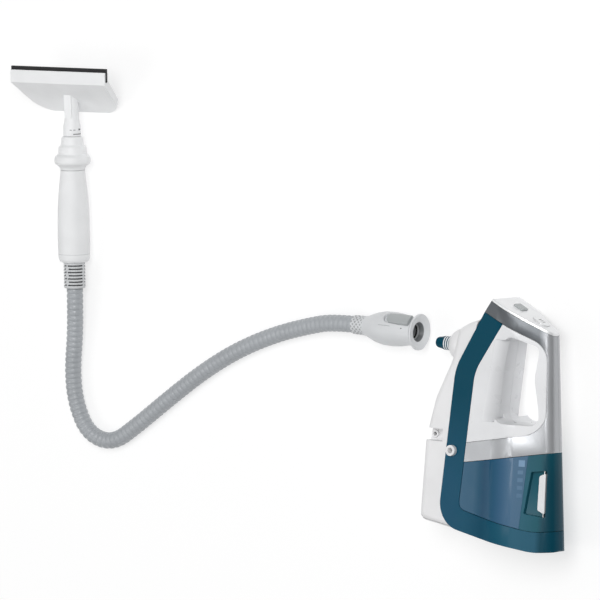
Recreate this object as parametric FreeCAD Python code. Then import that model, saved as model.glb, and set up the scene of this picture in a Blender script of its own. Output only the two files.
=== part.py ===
import FreeCAD, Part
import math
import os

os.makedirs("parts", exist_ok=True)
V = FreeCAD.Vector

# Handheld steam cleaner laid on its right side, with a hose set and a window squeegee beside it.
# Three local frames are used, and each group of parts is placed in the common frame once:
#   unit   : +X forward to the steam nozzle, +Y to the unit's left, +Z up its body
#   nozzle : +Z along the nozzle and the hose connector, +X to the unit's left
#   hand   : +Y along the hand piece towards the squeegee, +Z away from the floor

# --- unit: driving dimensions, mm -------------------------------------------------------------
WALL = 2.4                  # thickness of the moulded shells
SEAM = 0.2                  # half of the gap between two neighbouring shells
SHOULDER = 62.0             # where the body is widest, measured forward from the lowest rear edge
HALF_WIDTH = 42.0           # half width at the shoulder, at the height of the base
TAPER_FORWARD = 0.055       # the flanks close in by this much per mm forward of the shoulder
TAPER_UP = 0.045            # and by this much per mm of height
SHOULDER_ROUND = 60.0
REAR_RADIUS = 20.0          # radius of the grip side at the base
REAR_NARROWING = 0.03       # it gets smaller by this much per mm of height
REAR_LEAN = 0.055           # the grip side leans forward by this much per mm of height
BODY_FRONT = 200.0
BODY_LOW = -30.0
BODY_HIGH = 300.0
PANEL_SLOPE = 0.515         # rise of the top panel per mm forward
PANEL_FRONT = (84.7, 286.0)
PANEL_THICK = 2.2

# Corners of the side view as (forward, up, corner radius).
FRAME_TIP = (94.6, 271.0, 0)
FRAME_INNER_TOP = (19.0, 235.0, 28)
FRAME_INNER_LOW = (15.8, 137.3, 28)
BAND_REAR_HIGH = (68.9, 258.4, 0)
BAND_REAR_BEND = (103.9, 202.7, 50)
BAND_REAR_MID = (110.9, 121.0, 0)
BAND_REAR_LOW = (112.8, 98.5, 0)
BAND_INNER_CORNER = (117.4, 45.3, 10)
BAND_FRONT_BEND = (131.5, 205.0, 60)
BAND_FRONT_LOW = (145.8, 25.9, 32)
TANK_TOP_REAR = (-20.0, 119.9, 0)
TANK_HEEL = (26.0, 24.3, 60)
TANK_LOW_REAR = (-20.0, 28.0, 0)
BASE_HEEL = (24.0, 0.9, 60)
BASE_TOE = (-0.4, 2.6, 4)
BASE_BACK = (0.6, 20.0, 0)
BAND_TAIL = (-20.0, 24.0, 0)
BASE_PLATE_REAR = (4.2, 2.29, 0)
BASE_PLATE_FRONT = (126.0, 21.79)
TANK_SPLIT_TOP = (32.5, 118.0)
TANK_SPLIT_LOW = (39.8, 18.0)

# Screws that hold the two halves, as (forward, up).
WHITE_SCREWS = [(99.0, 182.0), (60.0, 136.8)]
FRAME_SCREWS = [(66.0, 120.0), (84.0, 276.0)]

# The see-through grip opening.
OPENING = [(26.8, 233.5, 8), (64.0, 247.0, 8), (70.5, 205.0, 60), (77.0, 146.0, 14),
           (24.4, 144.2, 9), (24.8, 161.5, 30), (30.8, 198.0, 45)]
OPENING_CORNER_RADIUS = 22.0

# Front cover, which holds the boiler.
COVER = [(100, 262, 0), (119, 257, 0), (134, 249, 12), (141, 213.5, 40),
         (161.5, 169, 60), (172.8, 122, 80), (175.5, 28, 10), (114, 18.4, 0),
         (119, 60, 0), (115, 150, 0), (110, 200, 0), (100, 235, 0)]
COVER_REAR = [(60, 0, 0), (125, 0, 0), (131, 60, 0), (127, 150, 0), (122, 200, 0), (112, 235, 0),
              (103, 270, 0), (60, 270, 0)]
COVER_EDGE_RADIUS = 8.5
NOTCH_REAR = 146.0
NOTCH_LOW = 119.0
NOTCH_HIGH = 133.5
NOTCH_HALF_WALL = 13.0

# Nozzle and hose connector.
NOZZLE_BASE = V(152.5, 0, 229.4)
NOZZLE_RISE = math.radians(2.0)
NOZZLE_RADIUS = 8.0
NOZZLE_LENGTH = 23.0
NOZZLE_SEAT_RADIUS = 7.6    # the part of the nozzle that sits in the nose
NOZZLE_BORE = 2.2
NOSE_RADIUS = 19.5
FLANGE_AT = 48.0            # from the nozzle's base to the flange's face, with the plug drawn off
CONNECTOR_LIFT = 8.7        # the drawn-off connector lies this far above the nozzle's axis
MOUTH_RADIUS = 11.6
THROAT_RADIUS = 9.0         # the flange's funnel narrows to this in front of the socket
FLANGE_RADIUS = 21.3
CONNECTOR_LENGTH = 91.0
BULB_RADIUS = 20.0
SOCKET_RADIUS = 8.6
SLIDER_HALF = 7.2           # half width of the lock slider
SLIDER_LENGTH = 31.0
SLIDER_TRAVEL = 4.0
SLIDER_RADIUS = 20.6        # its outer face, about the connector's axis
SLIDER_TURN = -42.0         # degrees round the connector, from the upper side
HOSE_RADIUS = 10.0

# Buttons on the top panel, placed by their distance forward.
POWER_AT = 64.5
STEAM_AT = 36.0
POWER_HALF = 6.5
STEAM_LONG = 10.0
STEAM_WIDE = 7.5
BUTTON_GAP = 0.5

# Tank, with a latch lever in a pocket on each side, drawn in the side view.
POCKET = [(29.0, 93.0, 1.5), (12.5, 95.0, 1.5), (12.0, 41.5, 1.5), (35.0, 45.0, 1.5)]
POCKET_DEPTH = 5.0
LEVER = [(20.4, 88.6, 3.0), (14.0, 91.6, 0.8), (13.4, 45.6, 0.8), (20.8, 49.8, 3.0)]
LEAF_SPRING = [(19.6, 78, 0), (16.5, 78, 0), (16.5, 60, 0), (19.6, 60, 0)]
LEVER_PIN_FORWARD = 15.2
TANK_SLIDE = V(-1, 0, 0.12).normalize()     # the way the tank comes out
VALVE_AT = V(116.0, 0, 62.0)

# Boiler, an upright drum in the front cover.
BOILER_AT = 150.0
BOILER_RADIUS = 19.3
BOILER_LOW = 44.0
BOILER_HIGH = 110.0

# Side port in the left band.
PORT_AT = (129.1, 109.8)
PORT_RADIUS = 6.2
PORT_HOLE = 3.2

# Hand piece, along its own axis from the relief's open end.
GRIP_TILT = math.radians(1.3)
RELIEF_LENGTH = 31.0
GRIP_LENGTH = 111.0
RING_LENGTH = 40.4
TUBE_BORE = 3.0

# Squeegee head.
HEAD_WIDTH = 136.0
HEAD_BACK_WIDTH = 115.0
HEAD_DEPTH = 63.3           # from the crease under the rim to the foot of the back face
HEAD_THICK = 9.5
HEAD_CORNER = 32.0
HEAD_CREASE = V(0, 248.0, 29.5)
HEAD_LEAN = V(0, -37.0, -50.0).normalize()
HEAD_FLOOR = 23.1           # the head is cut flat this far below the hand piece's axis
RIM_DEPTH = 15.0
BLADE_PROUD = 4.5

# --- places on the floor, before the whole set is centred --------------------------------------
CENTRE = (-12.0, -1.5)
UNIT_AT = (365.1, -267.3)
HAND_AT = (-320.5, -3.0, 18.3)
HOSE_ROUTE = [
    V(-320.5, -3.0, 18.3), V(-320.8, -27.0, 17.4), V(-324.5, -62.0, 12.5), V(-330.0, -104.0, 10.1),
    V(-326.0, -143.0, 10.1), V(-308.0, -180.0, 10.1), V(-272.0, -190.0, 10.1), V(-236.0, -165.0, 10.1),
    V(-190.0, -129.5, 10.1), V(-140.0, -93.0, 10.1), V(-90.0, -64.0, 10.1), V(-38.0, -43.0, 10.1),
    V(8.0, -30.6, 12.5), V(44.0, -23.5, 16.7)]


# --- general helpers --------------------------------------------------------------------------
def rounded_wire(corners, at):
    """A closed wire through corners (a, b, radius), where at(a, b) gives the point in space."""
    starts, mids, ends = [], [], []
    count = len(corners)
    for i in range(count):
        here = V(corners[i][0], corners[i][1], 0)
        radius = corners[i][2]
        to_before = (V(corners[i - 1][0], corners[i - 1][1], 0) - here).normalize()
        after = corners[(i + 1) % count]
        to_after = (V(after[0], after[1], 0) - here).normalize()
        half = to_before.getAngle(to_after) / 2
        cut = radius / math.tan(half)
        bisector = (to_before + to_after).normalize()
        starts.append(here + to_before * cut)
        ends.append(here + to_after * cut)
        mids.append(here + bisector * (radius / math.sin(half) - radius))
    edges = []
    for i in range(count):
        first, middle, last = [at(p.x, p.y) for p in (starts[i], mids[i], ends[i])]
        previous = at(ends[i - 1].x, ends[i - 1].y)
        if previous.distanceToPoint(first) > 1e-6:
            edges.append(Part.LineSegment(previous, first).toShape())
        if corners[i][2] > 0:
            edges.append(Part.Arc(first, middle, last).toShape())
    return Part.Wire(edges)


def slab(corners, low, high, grow=0.0):
    """The side-view outline grown or shrunk, and extruded across the unit from low to high."""
    wire = rounded_wire(corners, lambda a, b: V(a, low, b))
    if grow:
        wire = wire.makeOffset2D(grow)
    return Part.Face(wire).extrude(V(0, high - low, 0))


def strip(start, end, below, above, low, high):
    """A flat plate that follows the side-view line start-end, between two offsets from it."""
    along = V(end[0] - start[0], 0, end[1] - start[1]).normalize()
    normal = V(-along.z, 0, along.x)
    if normal.z < 0:
        normal = normal * -1
    first = V(start[0], low, start[1])
    last = V(end[0], low, end[1])
    points = [first + normal * below, last + normal * below, last + normal * above, first + normal * above]
    face = Part.Face(Part.makePolygon(points + points[:1]))
    return face.extrude(V(0, high - low, 0))


def bent_plate(rear, heel, front, below, above):
    """A plate across the unit that bends once along the side view, between two heights over the line."""
    lower = [(a, b + below, r) for a, b, r in (rear, heel, front + (0,))]
    upper = [(a, b + above, r) for a, b, r in (front + (0,), heel, rear)]
    return slab(lower + upper, -80, 80)


def revolve(profile, centre=V(0, 0, 0)):
    """A solid of revolution about +Z from (radius, height) points."""
    points = [centre + V(r, 0, z) for r, z in profile]
    face = Part.Face(Part.makePolygon(points + points[:1]))
    return face.revolve(centre, V(0, 0, 1), 360)


def tube(outer, inner, start, axis, length):
    """A round tube or, with no inner radius, a rod."""
    body = Part.makeCylinder(outer, length, start, axis)
    if inner:
        body = body.cut(Part.makeCylinder(inner, length, start, axis))
    return body


def path_wire(points, radii):
    """Straight runs joined by tangent arcs of the given radii at the inner points."""
    edges = []
    last = points[0]
    for i in range(1, len(points) - 1):
        before = (points[i - 1] - points[i]).normalize()
        after = (points[i + 1] - points[i]).normalize()
        half = before.getAngle(after) / 2
        cut = radii[i - 1] / math.tan(half)
        start = points[i] + before * cut
        end = points[i] + after * cut
        middle = points[i] + (before + after).normalize() * (radii[i - 1] / math.sin(half) - radii[i - 1])
        edges.append(Part.LineSegment(last, start).toShape())
        edges.append(Part.Arc(start, middle, end).toShape())
        last = end
    edges.append(Part.LineSegment(last, points[-1]).toShape())
    return Part.Wire(edges)


def pipe(points, radii, outer, inner=0.0):
    """A round pipe along straight runs and arcs."""
    wire = path_wire(points, radii)
    direction = (points[1] - points[0]).normalize()
    body = wire.makePipeShell([Part.Wire(Part.makeCircle(outer, points[0], direction))], True, True)
    if inner:
        bore = Part.Wire(Part.makeCircle(inner, points[0], direction))
        body = body.cut(wire.makePipeShell([bore], True, True))
    return body


def sleeve_spring(low, radius, pitch, turns):
    """A pleated sleeve along +Z that stands for a small coil spring."""
    outer = []
    inner = []
    for i in range(2 * turns + 1):
        bulge = 0.35 if i % 2 else 0.0
        outer.append((radius + bulge, low + pitch * i / 2))
        inner.append((radius + bulge - 0.5, low + pitch * i / 2))
    return revolve(outer + inner[::-1])


def soften(body, radius, wanted):
    """Rounds the edges that wanted() picks, one set at a time, and keeps the body if that fails."""
    edges = [edge for edge in body.Edges if wanted(edge)]
    try:
        rounded = body.makeFillet(radius, edges)
        if rounded.isValid() and rounded.Solids:
            return rounded
    except Part.OCCError:
        pass
    print("edge left sharp:", len(edges), "edges, radius", radius)
    return body


def one_solid(body):
    """The largest solid of a result, without slivers."""
    return max(body.Solids, key=lambda solid: solid.Volume)


def mirrored(body):
    """The other half across the unit's middle plane."""
    return body.mirror(V(0, 0, 0), V(0, 1, 0))


# --- placements -------------------------------------------------------------------------------
def unit_matrix():
    """Lays the unit on its flat right flank."""
    up = V(-TAPER_FORWARD, 1, -TAPER_UP).normalize()
    forward = V(1, 0, 0)
    right = (up * forward.dot(up) - forward).normalize()
    back = up.cross(right)
    lift = (HALF_WIDTH + TAPER_FORWARD * SHOULDER) / math.sqrt(1 + TAPER_FORWARD ** 2 + TAPER_UP ** 2)
    return FreeCAD.Matrix(right.x, right.y, right.z, UNIT_AT[0],
                          back.x, back.y, back.z, UNIT_AT[1],
                          up.x, up.y, up.z, lift,
                          0, 0, 0, 1)


def nozzle_matrix():
    """From the nozzle frame to the unit frame."""
    along = V(math.cos(NOZZLE_RISE), 0, math.sin(NOZZLE_RISE))
    upward = V(-math.sin(NOZZLE_RISE), 0, math.cos(NOZZLE_RISE))
    side = upward.cross(along)
    return FreeCAD.Matrix(side.x, upward.x, along.x, NOZZLE_BASE.x,
                          side.y, upward.y, along.y, NOZZLE_BASE.y,
                          side.z, upward.z, along.z, NOZZLE_BASE.z,
                          0, 0, 0, 1)


def panel_matrix(forward):
    """A frame on the top panel at this distance forward, with +Z out of the panel."""
    slope = math.atan(PANEL_SLOPE)
    along = V(math.cos(slope), 0, math.sin(slope))
    normal = V(-math.sin(slope), 0, math.cos(slope))
    side = normal.cross(along)
    height = PANEL_FRONT[1] - PANEL_SLOPE * (PANEL_FRONT[0] - forward)
    return FreeCAD.Matrix(along.x, side.x, normal.x, forward,
                          along.y, side.y, normal.y, 0,
                          along.z, side.z, normal.z, height,
                          0, 0, 0, 1)


def hand_matrix():
    """From the hand frame to the common frame."""
    cosine = math.cos(GRIP_TILT)
    sine = math.sin(GRIP_TILT)
    return FreeCAD.Matrix(1, 0, 0, HAND_AT[0],
                          0, cosine, -sine, HAND_AT[1],
                          0, sine, cosine, HAND_AT[2],
                          0, 0, 0, 1)


# --- body shells ------------------------------------------------------------------------------
def plan_wire(up, inset):
    """The teardrop plan of the body at one height, drawn inset from the outer skin."""
    rear = REAR_LEAN * up + inset
    radius = REAR_RADIUS - REAR_NARROWING * up - inset
    rear_half = 0.7 * radius
    shoulder = HALF_WIDTH - TAPER_UP * up - inset
    front = BODY_FRONT - inset
    front_half = shoulder - TAPER_FORWARD * (front - SHOULDER)
    corners = [(rear, -rear_half, radius), (SHOULDER, -shoulder, SHOULDER_ROUND), (front, -front_half, 0),
               (front, front_half, 0), (SHOULDER, shoulder, SHOULDER_ROUND), (rear, rear_half, radius)]
    return rounded_wire(corners, lambda a, b: V(a, b, up))


def body_solid(inset):
    return Part.makeLoft([plan_wire(BODY_LOW, inset), plan_wire(BODY_HIGH, inset)], True, True)


def opening_corner(inset):
    """Rounds the opening's front wall into both flanks: the space outside a large quarter round."""
    sections = []
    for up, wall in ((120.0, 79.9), (250.0, 61.4)):
        radius = OPENING_CORNER_RADIUS
        flank = HALF_WIDTH - TAPER_UP * up - inset
        start = wall + inset
        centre = V(start + radius, flank - radius, up)
        corner = [V(start - 3, centre.y, up), V(start, centre.y, up)]
        turn = math.radians(45)
        middle = centre + V(-radius * math.cos(turn), radius * math.sin(turn), 0)
        end = centre + V(0, radius, 0)
        outside = [end + V(0, 12, 0), V(start - 3, end.y + 12, up)]
        edges = [Part.LineSegment(corner[0], corner[1]).toShape(),
                 Part.Arc(corner[1], middle, end).toShape(),
                 Part.LineSegment(end, outside[0]).toShape(),
                 Part.LineSegment(outside[0], outside[1]).toShape(),
                 Part.LineSegment(outside[1], corner[0]).toShape()]
        sections.append(Part.Wire(edges))
    cutter = Part.makeLoft(sections, True, True)
    bounds = Part.makeBox(200, 200, 94.0 + 2 * inset, V(0, -100, 147.0 - inset))
    cutter = cutter.common(bounds)
    return cutter.fuse(mirrored(cutter))


def side_outlines():
    panel_rear = PANEL_FRONT[1] - PANEL_SLOPE * (PANEL_FRONT[0] + 20)
    frame = [PANEL_FRONT + (0,), FRAME_TIP, FRAME_INNER_TOP, FRAME_INNER_LOW,
             BAND_REAR_MID, BAND_REAR_LOW, TANK_TOP_REAR, (-20.0, panel_rear, 0)]
    white = [BAND_REAR_HIGH, BAND_REAR_BEND, BAND_REAR_MID, FRAME_INNER_LOW, FRAME_INNER_TOP]
    band = [FRAME_TIP, BAND_FRONT_BEND, BAND_FRONT_LOW, BASE_HEEL, BASE_TOE, BASE_BACK, BAND_TAIL,
            TANK_LOW_REAR, TANK_HEEL, BAND_INNER_CORNER, BAND_REAR_BEND, BAND_REAR_HIGH]
    tank = [TANK_TOP_REAR, BAND_REAR_LOW, BAND_INNER_CORNER, TANK_HEEL, TANK_LOW_REAR]
    return frame, white, band, tank


def make_shells(outer, inner):
    """White grip shells, silver frames, side bands, and the screws that hold the halves."""
    frame, white, band = side_outlines()[:3]
    opening = slab(OPENING, -80, 80)
    opening_wall = slab(OPENING, -80, 80, WALL)
    open_outer = outer.cut(opening).cut(opening_corner(0.0))
    open_inner = inner.cut(opening_wall).cut(opening_corner(WALL))
    skin = open_outer.cut(open_inner)
    panel_cut = strip((-20.0, PANEL_FRONT[1] - PANEL_SLOPE * (PANEL_FRONT[0] + 20)), PANEL_FRONT,
                      -PANEL_THICK - SEAM, 20, -80, 80)
    nodes = {}
    near, far = 0.15, 80
    white_half = skin.common(slab(white, near, far, -SEAM))
    frame_half = skin.common(slab(frame, near, far, -SEAM)).cut(panel_cut)
    band_half = skin.common(slab(band, near, far, -SEAM))
    port_axis = V(TAPER_FORWARD, 1, TAPER_UP).normalize()
    port_start = V(PORT_AT[0], 20, PORT_AT[1])
    band_left = band_half.cut(Part.makeCylinder(PORT_RADIUS + 0.05, 40, port_start, port_axis))
    screws = []
    halves = {}
    for name, half, places in (("grip_shell", white_half, WHITE_SCREWS), ("frame", frame_half, FRAME_SCREWS)):
        left = half
        right = mirrored(half)
        for forward, up in places:
            flank = HALF_WIDTH - TAPER_UP * up - TAPER_FORWARD * max(0.0, forward - SHOULDER)
            boss = tube(4.0, 1.5, V(forward, near, up), V(0, 1, 0), flank - WALL - 1.0).common(inner)
            boss = boss.fuse(tube(3.0, 1.5, V(forward, flank - WALL - 3.0, up), V(0, 1, 0), 3.4).common(outer))
            left = left.fuse(boss)
            right = right.cut(Part.makeCylinder(3.0, 30, V(forward, -flank - 10, up), V(0, 1, 0)))
            head = tube(2.9, 0, V(forward, -flank + 0.3, up), V(0, 1, 0), 2.0)
            shank = tube(1.5, 0, V(forward, -flank + 2.3, up), V(0, 1, 0), flank + 6.0)
            screws.append(head.fuse(shank))
        halves[name + "_left"] = left
        halves[name + "_right"] = right
    nodes.update({name: one_solid(half) for name, half in halves.items()})
    nodes["side_band_left"] = one_solid(band_left)
    nodes["side_band_right"] = one_solid(mirrored(band_half))
    nodes["housing_screws"] = Part.makeCompound(screws)
    bushing = tube(PORT_RADIUS, PORT_HOLE, port_start, port_axis, 18.0)
    nodes["port_bushing"] = bushing
    return nodes


def make_chassis():
    """Inner plates that close the body round the tank bay."""
    inside = body_solid(WALL + 0.3)
    nodes = {}
    base = bent_plate(BASE_PLATE_REAR, BASE_HEEL, BASE_PLATE_FRONT, 0.7, 3.3)
    nodes["base_plate"] = one_solid(inside.common(base))
    tray = bent_plate(TANK_LOW_REAR, TANK_HEEL, (116.0, 45.0), -3.3, -0.8)
    nodes["tank_tray"] = one_solid(inside.common(tray))
    deck = strip((TANK_TOP_REAR[0], TANK_TOP_REAR[1]), (109.0, 99.1), 0.8, 3.2, -80, 80)
    nodes["inner_deck"] = one_solid(inside.common(deck))
    return nodes


# --- front cover, nose and nozzle -------------------------------------------------------------
def cover_solid(inset):
    corners = [(a, b, max(0, r - inset)) for a, b, r in COVER]
    body = slab(corners, -60, 60, -inset) if inset else slab(corners, -60, 60)
    flank = WALL + 0.3 + inset
    for sign in (1, -1):
        normal = V(TAPER_FORWARD, sign, TAPER_UP).normalize()
        point = V(SHOULDER, sign * (HALF_WIDTH - flank), 0)
        plane = Part.makePlane(600, 600, V(0, 0, 0), normal)
        centre = plane.CenterOfMass
        plane.translate(point - centre)
        body = body.cut(plane.extrude(normal * 100))
    return one_solid(body)


def front_edge(edge):
    """Edges that run down the cover's two front corners."""
    box = edge.BoundBox
    centre = box.Center
    along_corner = abs(centre.y) > 15 and box.ZLength > 2.0 and box.YLength < 12
    return along_corner and box.XMax > 121 and centre.z > 24


def make_front():
    nodes = {}
    to_unit = nozzle_matrix()
    body = soften(cover_solid(0.0), COVER_EDGE_RADIUS, front_edge)
    hollow = cover_solid(WALL)
    hollow = hollow.fuse(hollow.translated(V(-WALL - 1.0, 0, 0)))
    nose_profile = [(0, -34.0), (17.0, -34.0), (17.0, -24.0)]
    steps = 14
    low = math.radians(-28.0)
    high = math.acos(12.5 / NOSE_RADIUS)
    nose_centre = -math.sin(high) * NOSE_RADIUS
    for i in range(steps + 1):
        angle = low + (high - low) * i / steps
        nose_profile.append((NOSE_RADIUS * math.cos(angle), nose_centre + NOSE_RADIUS * math.sin(angle)))
    nose_profile.append((0, 0.0))
    nose_solid = revolve(nose_profile)
    nose_seat = revolve([(r + 0.1 if r > 0 else 0, z) for r, z in nose_profile])
    nose = nose_solid.cut(Part.makeCylinder(NOZZLE_SEAT_RADIUS + 0.1, 60, V(0, 0, -40)))
    nose = nose.cut(Part.makeCylinder(13.0, 26.0, V(0, 0, -34)))
    nodes["nose_shroud"] = nose.transformed(to_unit)
    depth = BODY_FRONT - NOTCH_REAR
    height = NOTCH_HIGH - NOTCH_LOW
    notches = []
    for sign in (1, -1):
        start = NOTCH_HALF_WALL if sign > 0 else -NOTCH_HALF_WALL - 50
        notches.append(Part.makeBox(depth, 50, height, V(NOTCH_REAR, start, NOTCH_LOW)))
        start = NOTCH_HALF_WALL - WALL if sign > 0 else -NOTCH_HALF_WALL + WALL - 50
        lining = Part.makeBox(depth, 50, height + 2 * WALL, V(NOTCH_REAR - WALL, start, NOTCH_LOW - WALL))
        hollow = hollow.cut(lining)
    cover = body.cut(hollow).cut(nose_seat.transformed(to_unit))
    for notch in notches:
        cover = cover.cut(notch)
    cover = cover.cut(slab(COVER_REAR, -60, 60))
    gland_at = V(165.5, 8.0, 126.0)
    cover = cover.cut(Part.makeCylinder(4.3, 12, gland_at, V(0, 1, 0)))
    port_axis = V(TAPER_FORWARD, 1, TAPER_UP).normalize()
    port_start = V(PORT_AT[0], 20, PORT_AT[1])
    cover = cover.cut(Part.makeCylinder(PORT_RADIUS + 0.05, 40, port_start, port_axis))
    nodes["front_cover"] = one_solid(cover)
    nodes["cord_gland"] = tube(4.2, 2.4, gland_at + V(0, 1.0, 0), V(0, 1, 0), 7.0)
    nodes["cord_clamp"] = Part.makeBox(10, 3.0, 9, V(158, 4.5, 121.5))
    # nozzle with three ring grooves
    nozzle = revolve([(NOZZLE_BORE, -22), (6.0, -22), (6.0, -8), (NOZZLE_SEAT_RADIUS, -8),
                      (NOZZLE_SEAT_RADIUS, 0.6), (NOZZLE_RADIUS, 0.6), (NOZZLE_RADIUS, 12.4),
                      (6.9, 16.4), (6.3, 20.6), (5.4, NOZZLE_LENGTH - 0.5), (4.8, NOZZLE_LENGTH),
                      (NOZZLE_BORE, NOZZLE_LENGTH)])
    rings = []
    for height in (3.6, 6.5, 9.4):
        groove = tube(NOZZLE_RADIUS + 1, NOZZLE_RADIUS - 0.7, V(0, 0, height), V(0, 0, 1), 1.5)
        nozzle = nozzle.cut(groove)
        rings.append(tube(NOZZLE_RADIUS - 0.02, NOZZLE_RADIUS - 0.7, V(0, 0, height), V(0, 0, 1), 1.5))
    for i in range(8):
        flute = Part.makeCylinder(1.0, 12, V(7.1, 0, 13.5), V(-0.14, 0, 1))
        nozzle = nozzle.cut(flute.rotated(V(0, 0, 0), V(0, 0, 1), 45 * i))
    nodes["steam_nozzle"] = one_solid(nozzle).transformed(to_unit)
    nodes["nozzle_rings"] = Part.makeCompound(rings).transformed(to_unit)
    nodes["nozzle_seal"] = tube(9.6, 6.0, V(0, 0, -11.5), V(0, 0, 1), 3.0).transformed(to_unit)
    return nodes


# --- top panel and buttons --------------------------------------------------------------------
def oval(long, wide, height, low):
    """An upright oval prism, long along +X."""
    wire = rounded_wire([(-long, -wide, wide * 0.98), (long, -wide, wide * 0.98), (long, wide, wide * 0.98),
                         (-long, wide, wide * 0.98)], lambda a, b: V(a, b, low))
    return Part.Face(wire).extrude(V(0, 0, height))


def square(half, height, low, radius=1.6):
    wire = rounded_wire([(-half, -half, radius), (half, -half, radius), (half, half, radius),
                         (-half, half, radius)], lambda a, b: V(a, b, low))
    return Part.Face(wire).extrude(V(0, 0, height))


def make_panel():
    nodes = {}
    rear = (-20.0, PANEL_FRONT[1] - PANEL_SLOPE * (PANEL_FRONT[0] + 20))
    cover = strip(rear, PANEL_FRONT, -PANEL_THICK, 0.8, -80, 80)
    front_cut = strip(PANEL_FRONT, (FRAME_TIP[0], FRAME_TIP[1]), 0, 40, -80, 80)
    panel = body_solid(0.5).common(cover).cut(front_cut)
    panel = soften(one_solid(panel), 1.2, panel_rim)
    power_hole = square(POWER_HALF + BUTTON_GAP, 20, -10, 2.2).transformed(panel_matrix(POWER_AT))
    steam_hole = oval(STEAM_LONG + BUTTON_GAP, STEAM_WIDE + BUTTON_GAP, 20, -10)
    steam_hole = steam_hole.transformed(panel_matrix(STEAM_AT))
    nodes["top_panel"] = one_solid(panel.cut(power_hole).cut(steam_hole))
    board = Part.makeBox(50, 20, 1.6, V(-25, -10, -15.6)).transformed(panel_matrix(45.0))
    nodes["control_board"] = board
    springs = []
    for name, at, cap in (("power", POWER_AT, square(POWER_HALF, 5.2, -2.2)),
                          ("steam", STEAM_AT, oval(STEAM_LONG, STEAM_WIDE, 4.8, -2.2))):
        place = panel_matrix(at)
        cap = soften(cap, 1.0, lambda edge: edge.BoundBox.ZMin > 2.0)
        stem = Part.makeCylinder(1.6, 4.6, V(0, 0, -6.8))
        nodes[name + "_button"] = cap.fuse(stem).transformed(place)
        switch = Part.makeBox(6.4, 6.4, 4.4, V(-3.2, -3.2, -14.0))
        nodes[name + "_switch"] = switch.transformed(place)
        springs.append(sleeve_spring(-13.5, 5.4, 2.0, 4).transformed(place))
    nodes["button_springs"] = Part.makeCompound(springs)
    return nodes


def panel_rim(edge):
    """Edges on the panel's upper face."""
    centre = edge.CenterOfMass
    height = PANEL_FRONT[1] - PANEL_SLOPE * (PANEL_FRONT[0] - centre.x) + 0.8 * math.hypot(1, PANEL_SLOPE)
    return abs(centre.z - height) < 0.4


# --- tank -------------------------------------------------------------------------------------
def lever_pin_axis(side):
    """Foot and direction of a latch lever's pin on one side of the tank."""
    low = plan_point(40.0, LEVER_PIN_FORWARD, 2.0)
    high = plan_point(97.0, LEVER_PIN_FORWARD + 0.6, 2.0)
    foot = V(low.x, side * low.y, low.z)
    return foot, V(high.x - low.x, side * (high.y - low.y), high.z - low.z)


def plan_point(up, forward, inset):
    """The point of the inset plan at this height whose forward distance is given."""
    wire = plan_wire(up, inset)
    line = Part.LineSegment(V(forward, 0, up), V(forward, 90, up)).toShape()
    return wire.distToShape(line)[1][0][0]


def make_tank(outer):
    nodes = {}
    tank = side_outlines()[3]
    inner = body_solid(WALL)
    shape = outer.common(slab(tank, -80, 80, -SEAM - 0.15))
    hollow = inner.common(slab(tank, -80, 80, -SEAM - 0.15 - WALL))
    pocket = slab(POCKET, -80, 80).cut(body_solid(POCKET_DEPTH))
    pocket_wall = slab(POCKET, -80, 80, 2.0).cut(body_solid(POCKET_DEPTH + 2.0))
    shell = shape.cut(pocket).cut(hollow.cut(pocket_wall))
    front = [(TANK_SPLIT_TOP[0], 140, 0), (200, 140, 0), (200, 0, 0), (TANK_SPLIT_LOW[0], 0, 0),
             (TANK_SPLIT_LOW[0], TANK_SPLIT_LOW[1], 0), (TANK_SPLIT_TOP[0], TANK_SPLIT_TOP[1], 0)]
    front_slab = slab(front, -80, 80)
    tank_shell = one_solid(shell.common(front_slab))
    housing = one_solid(shell.cut(slab(front, -80, 80, 0.15)))
    bung_hole = Part.makeCylinder(11.1, 30, V(66, 0, 95), V(0, 0, 1))
    tank_shell = one_solid(tank_shell.cut(bung_hole))
    valve_hole = Part.makeCylinder(4.0, 30, VALVE_AT + TANK_SLIDE * 16, TANK_SLIDE * -1)
    nodes["tank_shell"] = one_solid(tank_shell.cut(valve_hole))
    bung = Part.makeCylinder(11.0, 2.6, V(66, 0, 102.2), V(0, 0, 1))
    nodes["fill_bung"] = bung.fuse(Part.makeCylinder(9.0, 2.4, V(66, 0, 100.0), V(0, 0, 1)))
    nodes["tank_valve"] = tube(4.0, 2.0, VALVE_AT + TANK_SLIDE * 8, TANK_SLIDE * -1, 15.0)
    levers = []
    pins = []
    springs = []
    for side in (1, -1):
        foot, axis = lever_pin_axis(side)
        length = axis.Length
        direction = V(axis.x, axis.y, axis.z).normalize()
        low, high = (0.15, 80) if side > 0 else (-80, -0.15)
        lever = body_solid(0.3).cut(body_solid(3.3)).common(slab(LEVER, low, high))
        lever = one_solid(lever)
        lever = lever.cut(Part.makeCylinder(1.05, length + 20, foot - direction * 10, direction))
        levers.append(one_solid(lever))
        pins.append(Part.makeCylinder(1.0, length, foot, direction))
        leaf = body_solid(4.2).cut(body_solid(4.7)).common(slab(LEAF_SPRING, low, high))
        springs.append(one_solid(leaf))
    for pin in pins:
        housing = housing.cut(pin)
    nodes["tank_housing"] = one_solid(housing)
    nodes["latch_lever_left"], nodes["latch_lever_right"] = levers
    nodes["latch_pins"] = Part.makeCompound(pins)
    nodes["latch_springs"] = Part.makeCompound(springs)
    return nodes


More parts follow.
